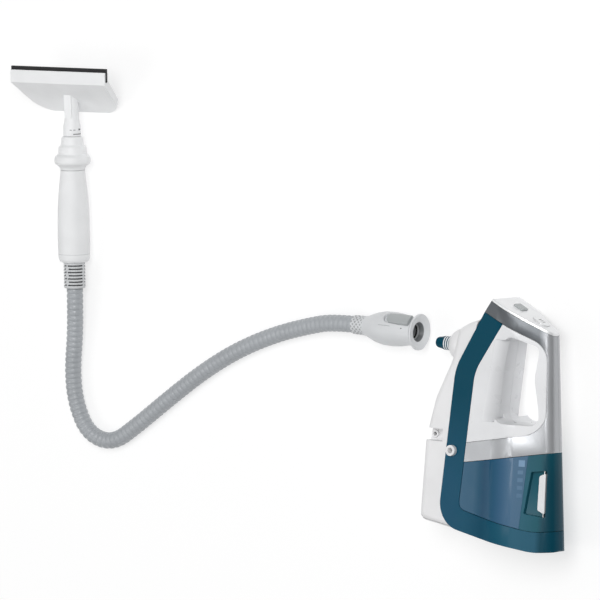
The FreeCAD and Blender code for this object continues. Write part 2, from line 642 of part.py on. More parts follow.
# --- steam works ------------------------------------------------------------------------------
def make_steam_works():
    nodes = {}
    crown = 6.0
    boiler = revolve([(0, BOILER_LOW), (BOILER_RADIUS - 4, BOILER_LOW), (BOILER_RADIUS, BOILER_LOW + 4),
                      (BOILER_RADIUS, BOILER_HIGH - crown), (BOILER_RADIUS - crown, BOILER_HIGH),
                      (0, BOILER_HIGH)], V(BOILER_AT, 0, 0))
    nodes["boiler"] = boiler
    element = Part.makeTorus(11.0, 3.0, V(BOILER_AT, 0, BOILER_LOW - 3.0), V(0, 0, 1))
    nodes["heating_element"] = element
    nodes["thermostat"] = tube(4.8, 0, V(BOILER_AT + 1, 8.6, BOILER_HIGH), V(0, 0, 1), 5.0)
    nodes["thermal_fuse"] = tube(2.0, 0, V(BOILER_AT - 5, -9, BOILER_HIGH + 2.0), V(1, 0, 0), 12.0)
    inward = TANK_SLIDE * -1
    socket = tube(7.5, 4.4, VALVE_AT + inward * 2.8, inward, 6.0)
    nodes["tank_socket"] = socket.fuse(Part.makeCylinder(7.5, 3.0, VALVE_AT + inward * 8.8, inward))
    nodes["socket_seal"] = tube(5.6, 4.4, VALVE_AT + inward * 1.1, inward, 1.6)
    suction = [V(122.0, 0, VALVE_AT.z + 7.6), V(122.0, 0, 134.0), V(112.0, 0, 134.0)]
    nodes["suction_tube"] = pipe(suction, [6.0], 2.6, 1.6)
    nodes["pump"] = Part.makeBox(25, 22, 38, V(87, -11, 128.5)).fuse(
        Part.makeCylinder(6.0, 6.0, V(99.5, 0, 166.5), V(0, 0, 1)))
    nodes["pump_bracket"] = Part.makeBox(30, 26, 2.0, V(84, -13, 126.5)).fuse(
        Part.makeBox(2.0, 26, 22.0, V(84, -13, 106.5)))
    feed = [V(112.0, 0, 156.0), V(136.0, 0, 156.0), V(136.0, 0, BOILER_HIGH)]
    nodes["feed_tube"] = pipe(feed, [7.0], 2.6, 1.6)
    outlet = nozzle_matrix().multVec(V(0, 0, -22.0))
    before = nozzle_matrix().multVec(V(0, 0, -38.5))
    steam = [V(150.0, 0, BOILER_HIGH), V(150.0, 0, 160.0), V(116.0, 0, 200.0), before, outlet]
    nodes["steam_pipe"] = pipe(steam, [12.0, 12.0, 8.0], 3.4, 2.2)
    return nodes


# --- hose connector ---------------------------------------------------------------------------
def round_ended(half, low, high, bottom, top):
    """A tongue along +Z from low to high, square at the low end and round at the high one."""
    square_part = Part.makeBox(2 * half, top - bottom, high - half - low, V(-half, bottom, low))
    return square_part.fuse(Part.makeCylinder(half, top - bottom, V(0, bottom, high - half), V(0, 1, 0)))


def make_connector():
    """Parts in the nozzle frame, from the flange outwards."""
    nodes = {}
    face = FLANGE_AT
    shell = revolve([(14.5, face + 3.3), (FLANGE_RADIUS - 5.0, face + 3.3), (16.8, face + 14), (19.0, face + 24),
                     (BULB_RADIUS, face + 36), (19.6, face + 48), (17.6, face + 58), (14.2, face + 67),
                     (11.6, face + 73), (11.6, face + 75), (8.4, face + 75), (8.4, face + 68),
                     (14.5, face + 58)])
    # the flange is a dished disc with a funnel for the nozzle
    flange = revolve([(MOUTH_RADIUS, face + 2.4), (FLANGE_RADIUS - 0.6, face),
                      (FLANGE_RADIUS, face + 0.6), (FLANGE_RADIUS, face + 2.0), (FLANGE_RADIUS - 4, face + 4.6),
                      (16.1, face + 6.0), (16.1, face + 3), (14.1, face + 3), (14.1, face + 8.0),
                      (THROAT_RADIUS, face + 8.0)])
    shell = shell.cut(revolve([(15.8, face - 1), (15.8, face + 6.3), (FLANGE_RADIUS + 1, face + 4.3),
                               (FLANGE_RADIUS + 1, face - 1)]))
    socket = revolve([(SOCKET_RADIUS, face + 8.2), (14.1, face + 8.2), (14.1, face + 46), (7.0, face + 52),
                      (7.0, face + 66), (3.0, face + 66), (3.0, face + 32), (SOCKET_RADIUS, face + 28)])
    seal = tube(10.4, SOCKET_RADIUS, V(0, 0, face + 10), V(0, 0, 1), 2.4)
    socket = socket.cut(tube(10.4, SOCKET_RADIUS - 1, V(0, 0, face + 10), V(0, 0, 1), 2.4))
    about = V(0, 0, 1)
    # a slider on a flat that is cut in the shell's shoulder
    rail = round_ended(SLIDER_HALF + 0.4, face + 6.6, face + 7.5 + SLIDER_LENGTH + SLIDER_TRAVEL, 15.9, 30.0)
    shell = shell.cut(rail.rotated(V(0, 0, 0), about, SLIDER_TURN))
    slider = round_ended(SLIDER_HALF, face + 7.0, face + 7.0 + SLIDER_LENGTH, 16.2, 30.0)
    slider = slider.common(Part.makeCylinder(SLIDER_RADIUS, 200.0))
    slider = soften(slider, 0.8, lambda edge: edge.BoundBox.YMin > 17.5 and edge.BoundBox.ZMin > face + 8)
    collar = revolve([(8.4, face + 75.2), (11.2, face + 75.2), (11.2, face + CONNECTOR_LENGTH),
                      (10.25, face + CONNECTOR_LENGTH), (10.25, face + 84), (8.4, face + 84)])
    for i in range(4):
        groove = tube(12.0, 10.8, V(0, 0, face + 77.2 + 3.3 * i), V(0, 0, 1), 1.5)
        collar = collar.cut(groove)
    nodes["connector_shell"] = one_solid(shell)
    nodes["connector_flange"] = flange
    nodes["connector_socket"] = socket
    nodes["connector_seal"] = seal
    nodes["lock_slider"] = one_solid(slider).rotated(V(0, 0, 0), about, SLIDER_TURN)
    nodes["hose_collar"] = one_solid(collar)
    return nodes


def hose_points():
    """The hose's route in the common frame, from the hand piece to the connector."""
    end = V(0, CONNECTOR_LIFT, FLANGE_AT + CONNECTOR_LENGTH - 6.5)
    end = nozzle_matrix().multVec(end)
    end = unit_matrix().multVec(end)
    return HOSE_ROUTE + [end]


def hose_radii(points):
    radii = []
    for i in range(1, len(points) - 1):
        before = points[i - 1] - points[i]
        after = points[i + 1] - points[i]
        turn = math.pi - before.getAngle(after)
        radii.append(0.45 * min(before.Length, after.Length) / math.tan(turn / 2))
    return radii


def make_hose():
    points = hose_points()
    radii = hose_radii(points)
    body = pipe(points, radii, HOSE_RADIUS)
    length = path_wire(points, radii).Length
    print("hose radii, mm:", [round(r) for r in radii])
    print("hose length, mm: %.1f" % length)
    print("hose volume / (section x length): %.4f" % (body.Volume / (math.pi * HOSE_RADIUS ** 2 * length)))
    print("hose end:", points[-1])
    return {"steam_hose": body}


# --- hand piece -------------------------------------------------------------------------------
def along_hand(profile):
    """A solid of revolution about the hand piece's axis from (radius, distance) points."""
    body = revolve(profile)
    return body.rotated(V(0, 0, 0), V(1, 0, 0), -90)


def make_hand():
    nodes = {}
    relief_end = RELIEF_LENGTH
    relief = along_hand([(10.1, 0), (12.3, 0), (13.0, 1.5), (13.0, relief_end), (8.0, relief_end),
                         (8.0, relief_end - 12), (10.1, relief_end - 12)])
    for i in range(7):
        at = 3.2 + 3.9 * i
        band = tube(14.0, 10.6, V(0, at, 0), V(0, 1, 0), 1.7)
        keep_half = 2.2 if i % 2 else 0.9
        keeper = Part.makeBox(2 * keep_half, 3, 40, V(-keep_half - 2.0, at - 0.5, -20))
        side_keeper = Part.makeBox(40, 3, 2.4, V(-20, at - 0.5, -1.2))
        relief = relief.cut(band.cut(keeper).cut(side_keeper))
    nodes["strain_relief"] = one_solid(relief)
    start = relief_end + 0.2
    grip_end = start + GRIP_LENGTH
    profile = [(8.2, start), (15.0, start), (17.0, start + 1.0), (18.4, start + 3.5), (19.0, start + 7),
               (19.4, start + 18), (19.5, start + 30), (19.2, start + 52), (18.7, start + 66),
               (18.0, start + 78), (17.0, start + 89), (16.0, start + 98), (15.2, start + 106),
               (14.9, grip_end), (8.2, grip_end)]
    grip = along_hand(profile)
    grip = grip.cut(along_hand([(0, start + 3), (13.4, start + 3), (13.4, start + 60), (11.4, grip_end - 4),
                                (0, grip_end - 4)]).cut(along_hand([(0, start), (8.2, start), (8.2, grip_end),
                                                                    (0, grip_end)])))
    upper = grip.cut(Part.makeBox(60, 300, 30, V(-30, -5, -30 + 0.1)))
    lower = grip.cut(Part.makeBox(60, 300, 30, V(-30, -5, -0.1)))
    nodes["grip_upper"] = one_solid(upper)
    nodes["grip_lower"] = one_solid(lower)
    nodes["inner_tube"] = tube(6.4, TUBE_BORE, V(0, relief_end - 6, 0), V(0, 1, 0), 172.4)
    # stepped locking ring, which turns on the inner tube
    ring = grip_end + 0.4
    ring_profile = [(6.46, ring), (14.9, ring), (15.2, ring + 1.5), (16.0, ring + 3.2), (17.6, ring + 5.0),
                    (20.2, ring + 6.8), (21.4, ring + 8.0), (21.8, ring + 9.4), (21.7, ring + 13.0),
                    (21.0, ring + 16.0), (19.6, ring + 17.6), (17.7, ring + 18.8), (17.2, ring + 20.0),
                    (16.9, ring + 26.0), (16.2, ring + 28.2), (14.2, ring + 29.8), (13.6, ring + 31.0),
                    (13.2, ring + 37.0), (12.4, ring + 39.4), (11.2, ring + RING_LENGTH),
                    (6.46, ring + RING_LENGTH)]
    nodes["locking_ring"] = along_hand(ring_profile)
    nodes["head_seal"] = tube(6.4, TUBE_BORE, V(0, relief_end + 166.8, 0), V(0, 1, 0), 4.0)
    nodes.update(make_head(ring + RING_LENGTH + 0.4))
    return nodes


def face_outline(inset, corner):
    """The back face's outline, drawn in from its edge, well behind the face."""
    half = HEAD_WIDTH / 2 - inset
    foot_half = HEAD_BACK_WIDTH / 2 - inset
    foot = HEAD_DEPTH + 1.5 - inset
    across = HEAD_LEAN.cross(V(1, 0, 0))
    top = 0.5 + inset
    corners = [(-half, -60.0, 0), (half, -60.0, 0)] if inset == 0 else []
    corners += [(half, top, 0), (foot_half, foot, corner), (-foot_half, foot, corner), (-half, top, 0)]
    start = HEAD_CREASE - V(0, -across.y, -across.z) * 30
    return rounded_wire(corners, lambda a, b: start + V(a, 0, 0) + HEAD_LEAN * b)


def across_head(points):
    """The side-view points swept over the head's whole width."""
    half = HEAD_WIDTH / 2
    face = Part.Face(Part.makePolygon([p + V(-half, 0, 0) for p in points + points[:1]]))
    return face.extrude(V(HEAD_WIDTH, 0, 0))


def make_head(neck_start):
    nodes = {}
    crease = HEAD_CREASE
    lean = HEAD_LEAN
    normal = V(0, -lean.z, lean.y)
    thick = HEAD_THICK
    rim_tip = crease + V(0, RIM_DEPTH, 0)
    foot = crease + lean * HEAD_DEPTH
    solid = across_head([
        crease, rim_tip, rim_tip + V(0, 0, -2.4), crease + V(0, 3.0, -2.4),
        crease + V(0, 3.0, -5.8), rim_tip + V(0, -1.0, -5.8), rim_tip + V(0, -1.0, -8.2),
        crease + normal * thick + lean * 3.0, foot + normal * (thick - 3.0), foot + normal * 2.0 + lean * 1.0,
        foot])
    solid = solid.common(Part.Face(face_outline(0.0, HEAD_CORNER)).extrude(normal * 80))
    # hollow behind the back face
    room = across_head([crease + normal * 2.4 + lean * 6.0, crease + normal * (thick + 2) + lean * 6.0,
                        foot + normal * (thick + 2) - lean * 6.0, foot + normal * 2.4 - lean * 6.0])
    hollow = room.common(Part.Face(face_outline(3.6, HEAD_CORNER - 4)).extrude(normal * 80))
    shell = solid.cut(hollow)
    # neck, with a gusset up the back face
    neck_end = crease.y - 12.0
    neck = along_hand([(0, neck_start), (10.6, neck_start), (10.6, neck_start + 12), (9.4, neck_start + 16),
                       (8.7, neck_start + 22), (8.5, neck_end + 6), (0, neck_end + 6)])
    web = [V(-5.0, 205, 0), V(-5.0, 236, 0), V(-5.0, 236, 9.5), V(-5.0, 205, 8.2)]
    gusset = Part.Face(Part.makePolygon(web + web[:1]))
    neck = neck.fuse(gusset.extrude(V(10.0, 0, 0)))
    behind = [V(-60, crease.y + 60, 120), crease + V(-60, 0, 0) - lean * 70 + normal * 1.0,
              foot + V(-60, 0, 0) + lean * 40 + normal * 1.0, V(-60, crease.y + 60, -80)]
    beyond = Part.Face(Part.makePolygon(behind + behind[:1])).extrude(V(120, 0, 0))
    neck = neck.cut(beyond)
    neck_bore = Part.makeCylinder(6.46, crease.y - neck_start, V(0, neck_start - 1, 0), V(0, 1, 0))
    shell = shell.fuse(neck)
    bore_end = neck_start + 19
    shell = shell.cut(neck_bore.common(Part.makeBox(60, bore_end, 60, V(-30, 0, -30))))
    shell = shell.cut(Part.makeCylinder(TUBE_BORE, 60, V(0, bore_end - 1, 0), V(0, 1, 0)))
    shell = shell.cut(Part.makeBox(300, 400, 30, V(-150, 0, -30 - HEAD_FLOOR)))
    nodes["squeegee_head"] = one_solid(shell)
    inner = normal * (thick - 4.6)
    outer = normal * (thick - 2.6)
    plate_room = across_head([crease + inner + lean * 6.4, crease + outer + lean * 6.4,
                              foot + outer - lean * 6.4, foot + inner - lean * 6.4])
    plate = plate_room.common(Part.Face(face_outline(4.6, HEAD_CORNER - 5)).extrude(normal * 80))
    for i in range(9):
        across = -40.0 + 10.0 * i
        slot = Part.makeBox(3.0, 12.0, 60, V(across - 1.5, -6.0, 0))
        tilt = FreeCAD.Placement(crease + lean * 32.0 - normal * 30,
                                 FreeCAD.Rotation(V(1, 0, 0), lean, normal, "XYZ"))
        plate = plate.cut(slot.transformed(tilt.toMatrix()))
    plate = plate.cut(Part.makeBox(300, 400, 30, V(-150, 0, -29.7 - HEAD_FLOOR)))
    nodes["steam_plate"] = one_solid(plate)
    left_end = -HEAD_WIDTH / 2 - 0.5
    blade = Part.makeBox(HEAD_WIDTH + 1.0, RIM_DEPTH - 4.0 + BLADE_PROUD, 3.0,
                         V(left_end, crease.y + 4.0, crease.z - 5.6))
    bead = Part.makeCylinder(1.6, HEAD_WIDTH + 1.0, V(left_end, crease.y + 4.8, crease.z - 4.1), V(1, 0, 0))
    nodes["squeegee_blade"] = blade.fuse(bead)
    return nodes


# --- build ------------------------------------------------------------------------------------
def main():
    outer = body_solid(0.0)
    inner = body_solid(WALL)
    unit_nodes = {}
    for group in (make_shells(outer, inner), make_chassis(), make_front(), make_panel(), make_tank(outer),
                  make_steam_works()):
        unit_nodes.update(group)
    to_unit = nozzle_matrix()
    for name, shape in make_connector().items():
        unit_nodes[name] = shape.translated(V(0, CONNECTOR_LIFT, 0)).transformed(to_unit)
    nodes = {name: shape.transformed(unit_matrix()) for name, shape in unit_nodes.items()}
    nodes.update(make_hose())
    for name, shape in make_hand().items():
        nodes[name] = shape.transformed(hand_matrix())
    for name, shape in nodes.items():
        shape.translate(V(-CENTRE[0], -CENTRE[1], 0))
        shape.exportStep("parts/%s.step" % name)
    print(len(nodes), "nodes")
    return nodes


if __name__ == "__main__":
    main()
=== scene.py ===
"""Handheld steamer with its hose, hand piece and squeegee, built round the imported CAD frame."""
import math
import bpy
import bmesh
from mathutils import Matrix, Vector
from mathutils.bvhtree import BVHTree


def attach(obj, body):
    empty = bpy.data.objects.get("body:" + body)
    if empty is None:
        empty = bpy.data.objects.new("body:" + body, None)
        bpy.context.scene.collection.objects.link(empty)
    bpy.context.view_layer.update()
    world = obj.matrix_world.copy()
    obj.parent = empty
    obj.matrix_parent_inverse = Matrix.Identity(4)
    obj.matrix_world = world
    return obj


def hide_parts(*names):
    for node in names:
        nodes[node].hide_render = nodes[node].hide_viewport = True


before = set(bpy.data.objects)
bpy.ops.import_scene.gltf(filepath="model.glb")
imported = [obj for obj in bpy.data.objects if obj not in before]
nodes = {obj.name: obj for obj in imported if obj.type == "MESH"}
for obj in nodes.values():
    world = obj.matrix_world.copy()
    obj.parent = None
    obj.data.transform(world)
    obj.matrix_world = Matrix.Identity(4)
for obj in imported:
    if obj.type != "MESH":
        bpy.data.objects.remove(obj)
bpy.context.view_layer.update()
MM = 0.001

# --- camera -------------------------------------------------------------------------------------
AZIMUTH = math.radians(32.0)
ELEVATION = math.radians(6.0)
DISTANCE = 6.0
FRAME_WIDTH = 0.702
CENTRE_SHIFT = Vector((12.0, 1.5, 0.0)) * MM
AIM = CENTRE_SHIFT + Vector((0, 0, 20 * MM))


def make_camera():
    """A long lens above the flat-laid set, swung to its right."""
    data = bpy.data.cameras.new("camera")
    data.sensor_width = 36.0
    data.lens = 36.0 * DISTANCE / FRAME_WIDTH
    data.clip_end = 30.0
    camera = bpy.data.objects.new("camera", data)
    bpy.context.collection.objects.link(camera)
    back = Vector((math.sin(AZIMUTH) * math.cos(ELEVATION), math.sin(ELEVATION),
                   math.cos(AZIMUTH) * math.cos(ELEVATION)))
    right = Vector((math.cos(AZIMUTH), 0, -math.sin(AZIMUTH)))
    up = back.cross(right)
    place = Matrix((right, up, back)).transposed().to_4x4()
    place.translation = AIM + back * DISTANCE
    camera.matrix_world = place
    bpy.context.scene.camera = camera


make_camera()


# --- materials ----------------------------------------------------------------------------------
def new_material(name):
    """An empty material with its tree and its shader."""
    material = bpy.data.materials.new(name)
    material.use_nodes = True
    tree = material.node_tree
    shader = tree.nodes["Principled BSDF"]
    return material, tree, shader


def add(tree, kind, **values):
    """A node with its properties or sockets set by name; an underscore stands for a space."""
    node = tree.nodes.new(kind)
    for key, value in values.items():
        if hasattr(node, key):
            setattr(node, key, value)
        else:
            node.inputs[key.replace("_", " ")].default_value = value
    return node


def ramp(tree, source, stops):
    """A colour ramp on a source socket; stops are (position, value or colour)."""
    node = tree.nodes.new("ShaderNodeValToRGB")
    elements = node.color_ramp.elements
    while len(elements) < len(stops):
        elements.new(0.5)
    for element, (position, value) in zip(elements, stops):
        element.position = position
        element.color = (value, value, value, 1) if isinstance(value, float) else (*value, 1)
    tree.links.new(source, node.inputs["Fac"])
    return node.outputs["Color"]


def srgb(red, green, blue):
    """Linear colour from the 0-255 scale."""
    def channel(value):
        value /= 255.0
        return value / 12.92 if value <= 0.04045 else ((value + 0.055) / 1.055) ** 2.4
    return channel(red), channel(green), channel(blue)


def moulded(name, colour, roughness, grain=0.02, grain_size=1500.0, coat=0.0, metallic=0.0,
            transmission=0.0, mottling=0.03, specular=0.5):
    """Moulded plastic: a slightly uneven colour, an uneven gloss and a fine grain."""
    material, tree, shader = new_material(name)
    place = tree.nodes.new("ShaderNodeTexCoord").outputs["Object"]
    broad = add(tree, "ShaderNodeTexNoise", Scale=28.0, Detail=3.0, Roughness=0.5)
    tree.links.new(place, broad.inputs["Vector"])
    dark = tuple(c * (1 - mottling) for c in colour)
    light = tuple(min(1.0, c * (1 + mottling)) for c in colour)
    patches = ramp(tree, broad.outputs["Fac"], [(0.3, dark), (0.7, light)])
    tree.links.new(patches, shader.inputs["Base Color"])
    fine = add(tree, "ShaderNodeTexNoise", Scale=grain_size, Detail=2.0, Roughness=0.6)
    tree.links.new(place, fine.inputs["Vector"])
    smear = add(tree, "ShaderNodeTexNoise", Scale=60.0, Detail=4.0, Roughness=0.6)
    tree.links.new(place, smear.inputs["Vector"])
    low = max(0.02, roughness - 0.04)
    gloss = ramp(tree, smear.outputs["Fac"], [(0.3, low), (0.75, roughness + 0.05)])
    tree.links.new(gloss, shader.inputs["Roughness"])
    bump = add(tree, "ShaderNodeBump", Strength=grain, Distance=0.0004)
    tree.links.new(fine.outputs["Fac"], bump.inputs["Height"])
    tree.links.new(bump.outputs["Normal"], shader.inputs["Normal"])
    shader.inputs["Metallic"].default_value = metallic
    shader.inputs["Specular IOR Level"].default_value = specular
    shader.inputs["Coat Weight"].default_value = coat
    shader.inputs["Coat Roughness"].default_value = 0.12
    shader.inputs["Transmission Weight"].default_value = transmission
    shader.inputs["IOR"].default_value = 1.48
    return material


# --- the pieces' own frames, for painted light and shade, patterns and marks that follow them ---
# Each frame is an origin and three axes. The unit's axes are forward, left and upward as it
# stands in use; the hand piece's are across, along its spine and away from the floor.
HALF_WIDTH = 42.0
SHOULDER = 62.0
TAPER_FORWARD = 0.055
TAPER_UP = 0.045
UNIT_ORIGIN = (365.1, -267.3, 45.3)
HAND_ORIGIN = (-320.5, -3.0, 18.3)
GRIP_TILT = math.radians(1.3)
NOZZLE_BASE = (152.5, 0.0, 229.4)
NOZZLE_RISE = math.radians(2.0)
CONNECTOR_LIFT = 8.7
PANEL_SLOPE = 0.515
PANEL_FOOT = 242.4


def in_frame(frame_axes, x, y, z):
    """A point given in millimetres along a piece's own axes."""
    origin, first, second, third = frame_axes
    place = Vector(origin) + Vector(first) * x + Vector(second) * y + Vector(third) * z
    return place * MM + CENTRE_SHIFT


def unit_frame():
    """The unit lies on its tapering right side, so its left points up and leans with the tapers."""
    out = Vector((-TAPER_FORWARD, 1.0, -TAPER_UP)).normalized()
    level = Vector((1.0, 0.0, 0.0))
    across = (out * level.dot(out) - level).normalized()
    deep = out.cross(across)
    return (UNIT_ORIGIN,) + tuple(zip(across, deep, out))


def hand_frame():
    """The hand piece lies with its spine tilted a little out of the level."""
    cosine, sine = math.cos(GRIP_TILT), math.sin(GRIP_TILT)
    return HAND_ORIGIN, (1.0, 0.0, 0.0), (0.0, cosine, sine), (0.0, -sine, cosine)


def connector_frame():
    """The connector's axes: across, upward and away from the nozzle along its own spine."""
    forward, left, upward = (Vector(axis) for axis in UNIT[1:])
    away = forward * math.cos(NOZZLE_RISE) + upward * math.sin(NOZZLE_RISE)
    over = upward * math.cos(NOZZLE_RISE) - forward * math.sin(NOZZLE_RISE)
    foot = Vector(UNIT[0]) + forward * NOZZLE_BASE[0] + upward * NOZZLE_BASE[2]
    return tuple(foot + over * CONNECTOR_LIFT), tuple(left), tuple(over), tuple(away)


UNIT = unit_frame()
HAND = hand_frame()
CONNECTOR = connector_frame()


def own_place(tree, frame_axes):
    """Three sockets with the shaded point's place in millimetres along a piece's own axes."""
    origin = Vector(frame_axes[0]) * MM + CENTRE_SHIFT
    source = tree.nodes.new("ShaderNodeTexCoord").outputs["Object"]
    moved = add(tree, "ShaderNodeVectorMath", operation="SUBTRACT")
    tree.links.new(source, moved.inputs[0])
    moved.inputs[1].default_value = origin
    sockets = []
    for axis in frame_axes[1:]:
        dot = add(tree, "ShaderNodeVectorMath", operation="DOT_PRODUCT")
        tree.links.new(moved.outputs["Vector"], dot.inputs[0])
        dot.inputs[1].default_value = Vector(axis) * 1000.0
        sockets.append(dot.outputs["Value"])
    return sockets


def calc(tree, operation, first, second=0.0):
    """One maths node on sockets or plain numbers."""
    node = add(tree, "ShaderNodeMath", operation=operation)
    for socket, value in zip(node.inputs, (first, second)):
        if isinstance(value, (int, float)):
            socket.default_value = value
        else:
            tree.links.new(value, socket)
    return node.outputs["Value"]


def between(tree, value, low, high, soft):
    """1 between low and high, with a soft edge."""
    up = add(tree, "ShaderNodeMapRange")
    tree.links.new(value, up.inputs["Value"])
    up.inputs["From Min"].default_value = low - soft
    up.inputs["From Max"].default_value = low + soft
    down = add(tree, "ShaderNodeMapRange")
    tree.links.new(value, down.inputs["Value"])
    down.inputs["From Min"].default_value = high + soft
    down.inputs["From Max"].default_value = high - soft
    return calc(tree, "MULTIPLY", up.outputs["Result"], down.outputs["Result"])


def along(tree, value, low, high, stops):
    """A colour ramp over a range of a coordinate; stops are (coordinate, colour)."""
    scale = add(tree, "ShaderNodeMapRange")
    tree.links.new(value, scale.inputs["Value"])
    scale.inputs["From Min"].default_value = low
    scale.inputs["From Max"].default_value = high
    placed = [((at - low) / (high - low), colour) for at, colour in stops]
    return ramp(tree, scale.outputs["Result"], placed)


def mix(tree, factor, first, second):
    """The two colours mixed; each is a socket or a plain colour."""
    node = tree.nodes.new("ShaderNodeMix")
    node.data_type = "RGBA"
    tree.links.new(factor, node.inputs["Factor"])
    for socket, value in ((node.inputs[6], first), (node.inputs[7], second)):
        if isinstance(value, tuple):
            socket.default_value = (*value, 1.0)
        else:
            tree.links.new(value, socket)
    return node.outputs[2]


def from_spine(tree, first, second):
    """The distance from a piece's spine, from its two sideways coordinates."""
    return calc(tree, "SQRT", calc(tree, "ADD", calc(tree, "MULTIPLY", first, first),
                                   calc(tree, "MULTIPLY", second, second)))


def own_colour(tree):
    """The socket that feeds the material's colour."""
    return tree.nodes["Principled BSDF"].inputs["Base Color"].links[0].from_socket


def recolour(tree, colour):
    """Gives the material a new colour socket."""
    tree.links.new(colour, tree.nodes["Principled BSDF"].inputs["Base Color"])


OFF_WHITE = srgb(218, 220, 222)
M = {
    "white": moulded("white_gloss", srgb(226, 227, 229), 0.30, grain=0.015),
    "cover_white": moulded("white_satin", srgb(234, 234, 235), 0.42, grain=0.05),
    "off_white": moulded("off_white_satin", OFF_WHITE, 0.42, grain=0.06),
    "grip_white": moulded("grip_white", srgb(238, 239, 240), 0.52, grain=0.10),
    "silver": moulded("silver_paint", srgb(176, 178, 181), 0.36, grain=0.06, grain_size=2600.0,
                      coat=0.15, metallic=0.55, mottling=0.02),
    "panel_silver": moulded("silver_panel", srgb(240, 241, 242), 0.34, grain=0.05,
                            grain_size=2600.0, coat=0.15, metallic=0.35, mottling=0.02),
    "teal": moulded("teal_satin", srgb(0, 66, 90), 0.36, grain=0.04, mottling=0.02, specular=0.12),
    "teal_dark": moulded("teal_deep", srgb(10, 68, 86), 0.36, grain=0.04, mottling=0.02,
                         specular=0.2),
    "tank": moulded("tank_tint_painted_light", srgb(58, 112, 146), 0.22, grain=0.0, transmission=0.06,
                    mottling=0.01, specular=0.2),
    "dark": moulded("dark_plastic", srgb(42, 44, 47), 0.50, grain=0.08),
    "bore": moulded("bore_grey", srgb(196, 199, 201), 0.45, grain=0.04),
    "grey_key": moulded("key_grey", srgb(176, 180, 181), 0.40, grain=0.06),
    "hose": moulded("hose_grey", srgb(170, 174, 178), 0.38, grain=0.05, grain_size=900.0, coat=0.1,
                    mottling=0.05),
    "relief": moulded("relief_grey", srgb(206, 208, 210), 0.50, grain=0.08),
    "rubber": moulded("black_rubber", srgb(24, 24, 26), 0.62, grain=0.15),
    "pale_rubber": moulded("white_rubber", srgb(226, 228, 230), 0.55, grain=0.06),
    # print colours, also used for the painted shade of the connector's hole and crease
    "ink_and_shade": moulded("print_dark_and_shade", srgb(58, 60, 62), 0.55, grain=0.0),
    "grey_ink_and_shade": moulded("print_grey_and_shade", srgb(178, 180, 182), 0.5, grain=0.0),
    "brass": moulded("turned_brass", (0.70, 0.52, 0.24), 0.28, grain=0.05, metallic=1.0),
    "steel": moulded("plated_steel", (0.58, 0.58, 0.59), 0.30, grain=0.05, metallic=1.0),
    "alloy": moulded("cast_alloy", (0.50, 0.50, 0.51), 0.48, grain=0.25, grain_size=700.0,
                     metallic=1.0),
    "board": moulded("printed_board", srgb(24, 96, 52), 0.45, grain=0.05),
    "silicone": moulded("silicone", srgb(214, 214, 206), 0.35, grain=0.03, transmission=0.2),
    "knurl": moulded("knurled_white", OFF_WHITE, 0.45, grain=0.06),
    "head_white": moulded("head_white", srgb(240, 241, 242), 0.44, grain=0.06),
    "flange": moulded("flange_white", srgb(222, 224, 226), 0.42, grain=0.05),
}


# Painted reflections and shade on the blue-green mouldings: stops forward along the flank in mm,
# and the plain colour high up, where the painted light fades out.
PAINTED_LIGHT_REACH = 130.0
PAINTED_LIGHT_FADE = (80.0, 175.0)
FLANK_PAINTED_LIGHT = {
    "teal": ([(4, srgb(4, 64, 82)), (16, srgb(6, 66, 84)), (22, srgb(40, 92, 114)),
              (45, srgb(44, 96, 118)), (62, srgb(22, 82, 104)), (84, srgb(0, 68, 92)),
              (108, srgb(22, 80, 104)), (125, srgb(26, 80, 106))], srgb(0, 68, 88)),
    "teal_dark": ([(2, srgb(4, 62, 78)), (14, srgb(4, 64, 80)), (20, srgb(14, 86, 100)),
                   (36, srgb(34, 94, 112))], srgb(12, 80, 94)),
}
# The tank: painted reflections and shade along the flank, and the level scale beside the housing.
TANK_SPAN = (30.0, 120.0)
TANK_PAINTED_LIGHT = [(36, srgb(74, 110, 138)), (50, srgb(76, 112, 142)), (60, srgb(58, 98, 130)),
             (72, srgb(28, 82, 112)), (83, srgb(0, 68, 100)), (89, srgb(4, 76, 106)),
             (97, srgb(46, 92, 120)), (114, srgb(52, 96, 124))]
SCALE_TINT = srgb(122, 156, 188)
SCALE_BLOCK = ((36.0, 42.5), (98.5, 105.8))
SCALE_TICKS = 4
SCALE_TOP = 92.0
SCALE_PITCH = 8.8
TICK_SPAN = (37.5, 43.0)
TICK_HALF = 2.2
RELIEF_CORE = 12.3
GRIP_LINE = (41.1, 41.6)
FUNNEL_RADIUS = 11.5
FUNNEL_SPAN = (50.5, 60.0)
RIM_SHADE = (PANEL_FOOT - 27.0, PANEL_FOOT + 40.0)
RIM_SPAN = (22.0, 200.0)
KNURL_STARTS = 12.0
KNURL_PITCH = 1.25


def paint_flank_light():
    """Blue-green mouldings: painted reflections and shade change along the flank and fade to the
    plain colour up the front.
    """
    for key, (painted_light_stops, high) in FLANK_PAINTED_LIGHT.items():
        tree = M[key].node_tree
        forward, _, upward = own_place(tree, UNIT)
        # painted reflections and shade along the flank, lighter and darker bands
        low = along(tree, forward, 0.0, PAINTED_LIGHT_REACH, painted_light_stops)
        raised = add(tree, "ShaderNodeMapRange")
        tree.links.new(upward, raised.inputs["Value"])
        raised.inputs["From Min"].default_value = PAINTED_LIGHT_FADE[0]
        raised.inputs["From Max"].default_value = PAINTED_LIGHT_FADE[1]
        recolour(tree, mix(tree, raised.outputs["Result"], low, high))


